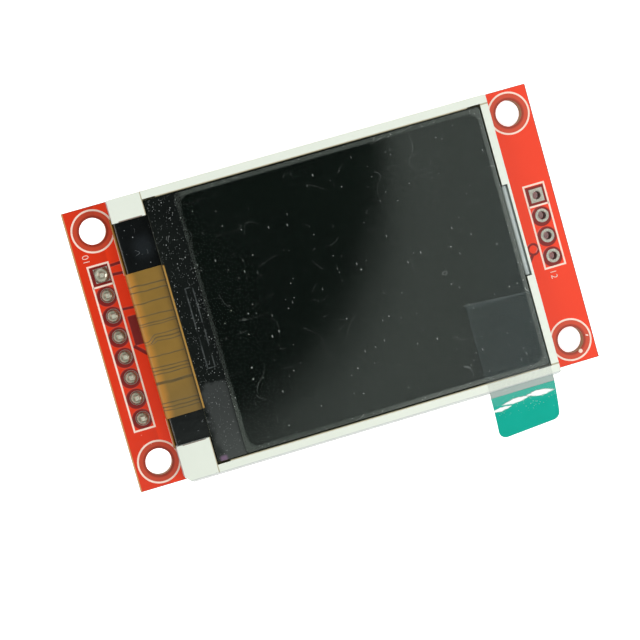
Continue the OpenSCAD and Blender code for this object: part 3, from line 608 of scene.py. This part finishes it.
flexLook = {
    "base": tone(146, 112, 48),
    "film": (tone(122, 91, 24), tone(142, 107, 36)),
    "filmLow": tone(104, 84, 42),       # towards the near side
    "fold": tone(192, 128, 42),
    "trace": tone(66, 54, 26),
    # painted shade where the cable goes under the glass
    "underGlass": tone(46, 34, 14),
    "lowFrom": (-9.5, -3.0),
    "foldFrom": (-23.5, -22.5),
    # where each dark track crosses the cable, and its width
    "tracks": [(6.6, 0.16), (5.85, 0.16), (4.5, 0.14), (2.9, 0.14), (2.0, 0.14), (1.72, 0.12),
               (0.55, 0.12), (0.12, 0.16), (-0.3, 0.12), (-2.0, 0.14), (-3.35, 0.14),
               (-3.75, 0.16), (-4.15, 0.14), (-5.25, 0.34), (-7.7, 0.14), (-8.2, 0.16), (-8.6, 0.12)],
}


def flexFinish():
    look = flexLook
    paint = Paint("flex_amber", look["base"], 0.3)
    # the tracks wander a little, and the middle ones turn down at the fold
    wander = (paint.noise(0.5, 1.0) - 0.5) * 0.35 + (paint.x + 21.6) * 0.03
    drop = paint.rise(paint.x * -1, 22.4, 23.6) * paint.near(paint.y, 0.1, 0.6, 0.2) * 0.7
    across = paint.y + wander + drop
    tracks = paint.union([paint.near(across, y, width / 2, 0.05) for y, width in look["tracks"]])
    tracks = tracks * (0.45 + paint.noise(0.9, 1.0) * 0.6)
    colour = paint.mix(paint.noise(0.5, 2.0), *look["film"])
    low = 1 - paint.rise(paint.y, *look["lowFrom"])
    colour = paint.mix(low * 0.5, colour, look["filmLow"])
    fold = 1 - paint.rise(paint.x + paint.noise(0.7, 1.0) * 0.5, *look["foldFrom"])
    colour = paint.mix(fold * 0.75, colour, look["fold"])
    colour = paint.mix(tracks, colour, look["trace"])
    # painted shade where the cable goes under the glass
    underGlass = paint.rise(paint.x, glassLow.x - 0.25, glassLow.x - 0.05)
    colour = paint.mix(underGlass * 0.75, colour, look["underGlass"])
    paint.colour(colour)
    paint.bump(tracks * -1 + paint.noise(0.9, 2.0) * 0.5, 0.02)
    return paint.material


tapeLook = {
    "base": tone(12, 14, 15),
    "shades": (tone(8, 9, 10), tone(20, 23, 24)),
    "haze": tone(52, 58, 62),
    "dust": tone(200, 206, 206),
    "hazePlace": (-20.9, 10.9),
}


def tapeFinish(name):
    look = tapeLook
    paint = Paint(name, look["base"], 0.12)
    colour = paint.mix(paint.noise(0.45, 3.0), *look["shades"])
    colour = paint.mix(paint.disc(look["hazePlace"], 1.2, 0.9) * 0.3, colour, look["haze"])
    dust = paint.specks(1.6, 0.13, 0.3).most(paint.specks(3.0, 0.12, 0.2))
    dust = dust.most(paint.hairs(0.55, 0.008, 0.34) * 0.3)
    paint.colour(paint.mix(dust * 0.8, colour, look["dust"]))
    paint.bump(paint.noise(1.4, 3.0), 0.003)
    return paint.material


tabLook = {
    "base": tone(8, 168, 146),
    "film": (tone(4, 164, 142), tone(16, 172, 152)),
    "filmTop": tone(66, 184, 164),
    "shine": tone(255, 255, 252),
    "speck": tone(120, 205, 190),
    # where the tape and the tab buckle they shine: middle, half length, half width and turn
    "shines": [((15.1, -19.74), 1.3, 0.22, 4.0), ((17.1, -19.2), 1.7, 0.28, 3.0),
               ((20.2, -19.1), 1.7, 0.34, -4.0)],
}


def shineOf(paint):
    shines = []
    for centre, length, width, turn in tabLook["shines"]:
        angle = math.radians(turn)
        fromX = paint.x - centre[0]
        fromY = paint.y - centre[1]
        along = (fromX * math.cos(angle) + fromY * math.sin(angle)) * (1 / length)
        across = (fromY * math.cos(angle) - fromX * math.sin(angle)) * (1 / width)
        ragged = (paint.noise(4.0, 4.0, paint.stretched((0.5, 1.6, 1.0), -turn)) - 0.5) * 2.2
        lens = abs(along).maths("POWER", 1.8) + abs(across) + ragged * 0.5
        shines.append(1 - paint.rise(lens, 0.75, 1.3))
    return paint.union(shines)


clearTapeLook = {
    "base": tone(196, 202, 200),
    "shades": (tone(176, 182, 180), tone(212, 216, 214)),
    "onGlass": tone(96, 108, 108),
    "gap": tone(160, 176, 170),         # the bare strip between the frame and the tab
    "gapHalf": 0.38,
}


def clearTapeFinish():
    look = clearTapeLook
    paint = Paint("clear_tape", look["base"], 0.16, alpha=0.2)
    gap = paint.near(paint.y, tabHigh.y + 0.33, look["gapHalf"], 0.03)
    beyond = 1 - paint.rise(paint.y, tabHigh.y - 0.05, tabHigh.y + 0.02)
    streak = paint.noise(0.9, 3.0, paint.stretched((0.35, 2.0, 1.0), 8))
    onGlass = paint.rise(paint.y, glassLow.y - 0.2, glassLow.y + 0.1)
    edge = 1 - paint.patch(tapeLow.x + 0.12, tapeHigh.x - 0.12, -40, tapeHigh.y - 0.6, 0.05)
    shine = shineOf(paint)
    colour = paint.mix(streak, *look["shades"])
    colour = paint.mix(onGlass, colour, look["onGlass"])
    colour = paint.mix(gap, colour, look["gap"])
    colour = paint.mix(shine, colour, tabLook["shine"])
    paint.colour(colour)
    haze = gap * 0.72 + (1 - gap) * 0.1 - beyond * (1 - gap) * 0.07 + onGlass * edge * 0.12
    paint.set(Alpha=haze.most(shine), Roughness=0.14 + streak * 0.2)
    return paint.material


def tabFinish():
    look = tabLook
    paint = Paint("tab_teal_film", look["base"], 0.3)
    paint.set(**{"Specular IOR Level": 0.12})
    cloud = paint.noise(0.5, 2.0)
    colour = paint.mix(cloud, *look["film"])
    upper = paint.rise(paint.y, tabHigh.y - 2.2, tabHigh.y - 0.2)
    colour = paint.mix(upper * 0.6, colour, look["filmTop"])
    shine = shineOf(paint)
    powder = paint.specks(5.0, 0.3, 0.4) * paint.near(paint.y, tabHigh.y - 1.5, 0.9, 0.6) * 0.5
    colour = paint.mix(shine.most(powder), colour, look["shine"])
    colour = paint.mix(paint.specks(1.2, 0.12, 0.3) * 0.4, colour, look["speck"])
    paint.colour(colour)
    paint.set(Roughness=0.18 + cloud * 0.1)
    paint.bump(shine + cloud * 0.4, 0.05)
    return paint.material


def plasticFinish(name, dark, light, roughness=0.45, grain=9.0):
    paint = Paint(name, dark, roughness)
    cloud = paint.noise(grain, 2.0)
    paint.colour(paint.mix(cloud, dark, light))
    paint.set(Roughness=roughness + (cloud - 0.5) * 0.2)
    paint.bump(cloud, 0.01)
    return paint.material


steelLook = {
    "base": tone(196, 196, 190),
    "rolled": (tone(184, 184, 178), tone(216, 216, 210)),   # fine lines left by the rolling
    "cloud": tone(160, 158, 150),
}


def steelFinish():
    look = steelLook
    paint = Paint("socket_steel_tinned", look["base"], 0.32, metallic=0.85)
    lines = paint.noise(2.0, 3.0, paint.stretched((12.0, 0.6, 4.0)))
    colour = paint.mix(lines, *look["rolled"])
    paint.colour(paint.mix(paint.noise(0.25, 2.0) * 0.3, colour, look["cloud"]))
    paint.set(Roughness=0.26 + lines * 0.16)
    paint.bump(lines, 0.006)
    return paint.material


def sheetFinish(name, colour, other, roughness=0.3, alpha=1.0):
    paint = Paint(name, colour, roughness, alpha=alpha)
    paint.colour(paint.mix(paint.noise(0.8, 2.0), colour, other))
    return paint.material


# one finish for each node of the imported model
finishes = {
    "printed_board": boardFinish(),
    "plated_holes": platingFinish("plating_spare_row", sparePads),
    "header_pads": platingFinish("plating_header_row", headerPads),
    "header_solder": solderFinish("solder_header", headerPads),
    "header_pins": pinFinish("pin_tin_plate", "tin"),
    "header_strip": plasticFinish("strip_black", tone(20, 20, 21), tone(34, 34, 35)),
    "mounting_foam": sheetFinish("foam_white", tone(226, 224, 216), tone(240, 238, 232), 0.9),
    "display_frame": frameFinish(),
    "reflector_sheet": sheetFinish("reflector_white", tone(236, 238, 238), tone(246, 246, 246)),
    "light_guide": sheetFinish("guide_clear", tone(196, 214, 214), tone(212, 226, 226), 0.1, 0.6),
    "backlight_flex": sheetFinish("backlight_flex_amber", tone(150, 112, 44), tone(170, 130, 60)),
    "backlight_leds": sheetFinish("diode_package", tone(226, 222, 196), tone(240, 234, 180)),
    "diffuser_sheet": sheetFinish("diffuser_white", tone(228, 232, 232), tone(238, 240, 240), 0.6),
    "lower_prism_sheet": sheetFinish("lower_prism_grey", tone(176, 182, 184), tone(196, 200, 202)),
    "upper_prism_sheet": sheetFinish("upper_prism_grey", tone(176, 182, 184), tone(196, 200, 202)),
    "rim_tape": tapeFinish("rim_tape_black"),
    "rear_polariser": polariserFinish("rear_polariser_dark"),
    "rear_glass": glassFinish("rear_glass_dark", False),
    "front_glass": glassFinish("front_glass_dark", True),
    "fill_seal": sheetFinish("seal_resin", tone(168, 178, 176), tone(198, 206, 204), 0.15),
    "driver_chip": sheetFinish("chip_silicon", tone(46, 50, 54), tone(58, 62, 66), 0.2),
    "ledge_tape": tapeFinish("ledge_tape_black"),
    "flex_cable": flexFinish(),
    "flex_contacts": solderFinish("solder_flex_contacts"),
    "front_polariser": polariserFinish("front_polariser_dark"),
    "protective_film": filmFinish(),
    "clear_tape": clearTapeFinish(),
    "pull_tab": tabFinish(),
    "socket_base": plasticFinish("socket_plastic_black", tone(18, 18, 18), tone(32, 32, 32)),
    "socket_shell": steelFinish(),
    "socket_contacts": pinFinish("contact_gold_plate", "gold"),
    "socket_switch": pinFinish("switch_gold_plate", "gold"),
    "regulator_body": plasticFinish("regulator_black", tone(24, 24, 26), tone(40, 40, 42), 0.5, 14.0),
    "regulator_leads": solderFinish("solder_regulator"),
    "capacitor_bodies": plasticFinish("capacitor_tan", tone(158, 128, 92), tone(180, 150, 112), 0.4, 4.0),
    "capacitor_ends": solderFinish("solder_capacitors"),
    "resistor_bodies": plasticFinish("resistor_black", tone(16, 16, 18), tone(30, 30, 34), 0.3, 6.0),
    "resistor_ends": solderFinish("solder_resistors"),
}
for nodeName, material in finishes.items():
    part = frame["nodes"][nodeName]
    if not part.material_slots:
        part.data.materials.append(material)
    for place in part.material_slots:
        place.material = material
print("finishes on", len(finishes), "nodes")


legend = {
    "thin": tone(246, 204, 184),
    "full": tone(255, 236, 222),
    "base": tone(252, 222, 204),
    "ringRadius": 2.51,
    "line": 0.22,
    "thickness": 0.018,
    # a box round each row of pads, and the height of the line across it
    "boxes": [((-27.95, -25.45, -10.08, 10.29), 7.72), ((25.45, 28.02, -5.13, 5.15), 2.56)],
    # the display's outline, printed just outside the frame: step in x, and y, of each end
    "outlineGap": 0.12,
    "outline": [((0.0, 13.1), (-0.02, 8.2)), ((0.0, -9.6), (0.0, -13.4))],
    "thinLine": 0.16,
    "dot": (26.98, -15.97),
    "dotRadius": 0.13,
    "dotLine": 0.24,
    "tick": ((28.1, -14.25), (28.4, -14.4)),
    "numbers": [("01", (-27.9, 11.25)), ("12", (26.25, -6.0))],
    "numberSize": 1.15,
}


def legendFinish():
    paint = Paint("legend_print", legend["base"], 0.55)
    grain = paint.noise(1.8, 3.0)
    paint.colour(paint.mix(grain, legend["thin"], legend["full"]))
    paint.bump(grain, 0.01)
    return paint.material


def onBoard(x, y):  # a point on the board's front face, in metres
    return (x * milli, y * milli, boardTop * milli)


def deselect():
    if bpy.context.object and bpy.context.object.mode != "OBJECT":
        bpy.ops.object.mode_set(mode="OBJECT")
    bpy.ops.object.select_all(action="DESELECT")


def settle(piece, name):  # puts the object's place into its mesh
    deselect()
    piece.select_set(True)
    bpy.context.view_layer.objects.active = piece
    bpy.ops.object.transform_apply(location=True, rotation=True, scale=True)
    piece.name = name
    piece.data.name = name
    return piece


def hollowOut(width):  # turns the face in edit mode into an outline of that width
    bpy.ops.mesh.inset(thickness=width * milli)
    bpy.ops.mesh.delete(type="FACE")
    bpy.ops.object.mode_set(mode="OBJECT")


def flatRing(centre, radius, width):
    deselect()
    bpy.ops.mesh.primitive_circle_add(
        vertices=96, radius=(radius + width / 2) * milli, fill_type="NGON",
        location=onBoard(*centre), enter_editmode=True)
    bpy.ops.mesh.select_all(action="SELECT")
    hollowOut(width)
    return settle(bpy.context.object, "legend_ring")


def flatBox(x0, x1, y0, y1, width):
    deselect()
    bpy.ops.mesh.primitive_plane_add(
        size=1, location=onBoard((x0 + x1) / 2, (y0 + y1) / 2), enter_editmode=True)
    bpy.ops.mesh.select_all(action="SELECT")
    bpy.ops.transform.resize(value=((x1 - x0 + width) * milli, (y1 - y0 + width) * milli, 1))
    hollowOut(width)
    return settle(bpy.context.object, "legend_box")


def flatLine(start, end, width):
    deselect()
    angle = math.atan2(end[1] - start[1], end[0] - start[0])
    middle = onBoard((start[0] + end[0]) / 2, (start[1] + end[1]) / 2)
    bpy.ops.mesh.primitive_plane_add(size=1, rotation=(0, 0, angle), location=middle)
    bpy.context.object.scale = (math.dist(start, end) * milli, width * milli, 1)
    return settle(bpy.context.object, "legend_line")


def flatNumber(body, centre, size):  # read with the spare row at the top
    deselect()
    bpy.ops.object.text_add(location=onBoard(*centre), rotation=(0, 0, math.radians(-90)))
    number = bpy.context.object
    number.data.body = body
    number.data.size = size * milli
    number.data.align_x = "CENTER"
    number.data.align_y = "CENTER"
    number.data.offset = -0.012 * milli  # thins the strokes a little
    bpy.ops.object.convert(target="MESH")
    return settle(bpy.context.object, "legend_number")


def joinLegend(pieces, name):
    deselect()
    for piece in pieces:
        piece.select_set(True)
    bpy.context.view_layer.objects.active = pieces[0]
    bpy.ops.object.join()
    whole = settle(pieces[0], name)
    solid = whole.modifiers.new("thickness", "SOLIDIFY")
    solid.thickness = legend["thickness"] * milli
    solid.offset = 1.0
    bpy.ops.object.modifier_apply(modifier="thickness")
    whole.data.materials.clear()
    whole.data.materials.append(legendFinish())
    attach(whole, "root")
    return whole


def frontLegend():
    line = legend["line"]
    thinLine = legend["thinLine"]
    pieces = [flatRing(hole, legend["ringRadius"], line) for hole in holes]
    for (x0, x1, y0, y1), divide in legend["boxes"]:
        pieces.append(flatBox(x0, x1, y0, y1, line))
        pieces.append(flatLine((x0, divide), (x1, divide), line))
    edge = frameLow.x - legend["outlineGap"]
    for (startStep, startY), (endStep, endY) in legend["outline"]:
        pieces.append(flatLine((edge + startStep, startY), (edge + endStep, endY), thinLine))
    pieces.append(flatRing(legend["dot"], legend["dotRadius"], legend["dotLine"]))
    pieces.append(flatLine(*legend["tick"], thinLine))
    for body, centre in legend["numbers"]:
        pieces.append(flatNumber(body, centre, legend["numberSize"]))
    return joinLegend(pieces, "legend_front")


frontLegend()
print("legend made")


stageLook = {
    "floor": (0.86, 0.86, 0.86, 1.0),
    "floorSize": 6.0,
    "floorGlow": 0.85,
    "shade": (20.0, 28.5, -6.0, 6.0),   # under the spare row the board's shadow is deepest
    "shadeDepth": 0.8,
    "cardPlace": (0.0, 0.0244, 0.594),  # in metres, like its radius
    "cardRadius": 0.111,
    "cardBlur": (8.0, -0.16),           # width of its soft edge, and change of that along y
    "cardMiddle": (0.01, 0.0114, 0.0103, 1.0),
    "cardRim": (1.05, 1.197, 1.0815, 1.0),
}


def floorMaterial():
    look = stageLook
    paint = Paint("floor_white", look["floor"], 0.8)
    camera = paint.node("ShaderNodeLightPath", {}, {}, "Is Camera Ray")
    others = [paint.outlet(camera, ray) for ray in ("Is Glossy Ray", "Is Transmission Ray")]
    seen = paint.union([camera] + others)
    glow = seen * (look["floorGlow"] - paint.patch(*look["shade"], 1.0) * look["shadeDepth"])
    paint.set(**{"Emission Color": paint.mix(glow, black, white), "Emission Strength": 1.0})
    return paint.material


def makeFloor():
    # the module leans on its pins' ends and on the far edge of the card socket
    tipX = (pinsLow.x + pinsHigh.x) / 2 - 0.2
    slope = math.atan2(socketLow.z - pinsLow.z, socketHigh.x - tipX)
    deselect()
    bpy.ops.mesh.primitive_plane_add(
        size=stageLook["floorSize"], rotation=(0, -slope, 0),
        location=(tipX * milli, 0, (pinsLow.z - 0.01) * milli))
    floor = settle(bpy.context.object, "floor")
    floor.data.materials.append(floorMaterial())


def cardMaterial():
    look = stageLook
    paint = Paint("card_dark", black, 1.0)
    x, y = look["cardPlace"][:2]
    width, slope = look["cardBlur"]
    blur = paint.y * slope + width
    away = paint.away((x / milli, y / milli)) - look["cardRadius"] / milli
    rim = paint.rise(away * blur.maths("POWER", -1.0), -1.0, 1.0)
    glow = {"Color": paint.mix(rim, look["cardMiddle"], look["cardRim"]), "Strength": 1.0}
    paint.surface(paint.node("ShaderNodeEmission", {}, glow))
    return paint.material


def makeCard():  # a dark round card over the module, which only shiny surfaces see
    deselect()
    bpy.ops.mesh.primitive_circle_add(
        vertices=128, radius=stageLook["cardRadius"] * 1.4, fill_type="NGON",
        location=stageLook["cardPlace"])
    card = settle(bpy.context.object, "overhead_card")
    card.data.materials.append(cardMaterial())
    card.visible_camera = False
    card.visible_diffuse = False
    card.visible_shadow = False
    card.visible_transmission = False


studio = {  # colour and strength of the room: its light, its reflection, and the backdrop
    "light": ((0.97, 1.0, 0.99, 1.0), 0.53),
    "mirrored": ((0.9, 1.0, 0.92, 1.0), 1.15),
    "backdrop": (white, 1.0),
}


def makeWorld():
    world = bpy.data.worlds.new("studio")
    bpy.context.scene.world = world
    world.use_nodes = True
    room = Tree(world.node_tree)
    room.tree.nodes.remove(room.tree.nodes["Background"])
    shaders = [room.node("ShaderNodeBackground", {}, {"Color": colour, "Strength": strength})
               for colour, strength in studio.values()]
    glossy = room.node("ShaderNodeLightPath", {}, {}, "Is Glossy Ray")
    camera = room.outlet(glossy, "Is Camera Ray")
    seen = room.node("ShaderNodeMixShader", {}, {0: glossy, 1: shaders[0], 2: shaders[1]})
    seen = room.node("ShaderNodeMixShader", {}, {0: camera, 1: seen, 2: shaders[2]})
    room.plug(room.tree.nodes["World Output"].inputs["Surface"], seen)


lamps = {  # soft panels: place and size in metres, power in watts
    "key_panel": {"place": (0.24, -0.1, 0.24), "size": 0.2, "power": 0.62},
    "fill_panel": {"place": (-0.3, 0.15, 0.34), "size": 0.3, "power": 0.62},
}


def makeLamps():
    for name, panel in lamps.items():
        deselect()
        bpy.ops.object.light_add(type="AREA", location=panel["place"])
        lamp = bpy.context.object
        lamp.name = name
        lamp.data.size = panel["size"]
        lamp.data.energy = panel["power"]
        lamp.rotation_euler = lamp.location.to_track_quat("Z", "Y").to_euler()  # faces the module


view = {
    "place": (-0.03897, 0.01883, 0.29939),
    "turn": (-2.197, -7.804, -15.849),
    "lens": 140.6,
    "sensor": 36.0,
    "nearest": 0.01,
}


def makeCamera():
    deselect()
    turn = [math.radians(angle) for angle in view["turn"]]
    bpy.ops.object.camera_add(location=view["place"], rotation=turn)
    camera = bpy.context.object
    camera.name = "camera"
    camera.data.lens = view["lens"]
    camera.data.sensor_width = view["sensor"]
    camera.data.clip_start = view["nearest"]
    bpy.context.scene.camera = camera


makeFloor()
makeCard()
makeWorld()
makeLamps()
makeCamera()
bpy.context.scene.view_settings.view_transform = "Standard"
print("stage, light and camera made")
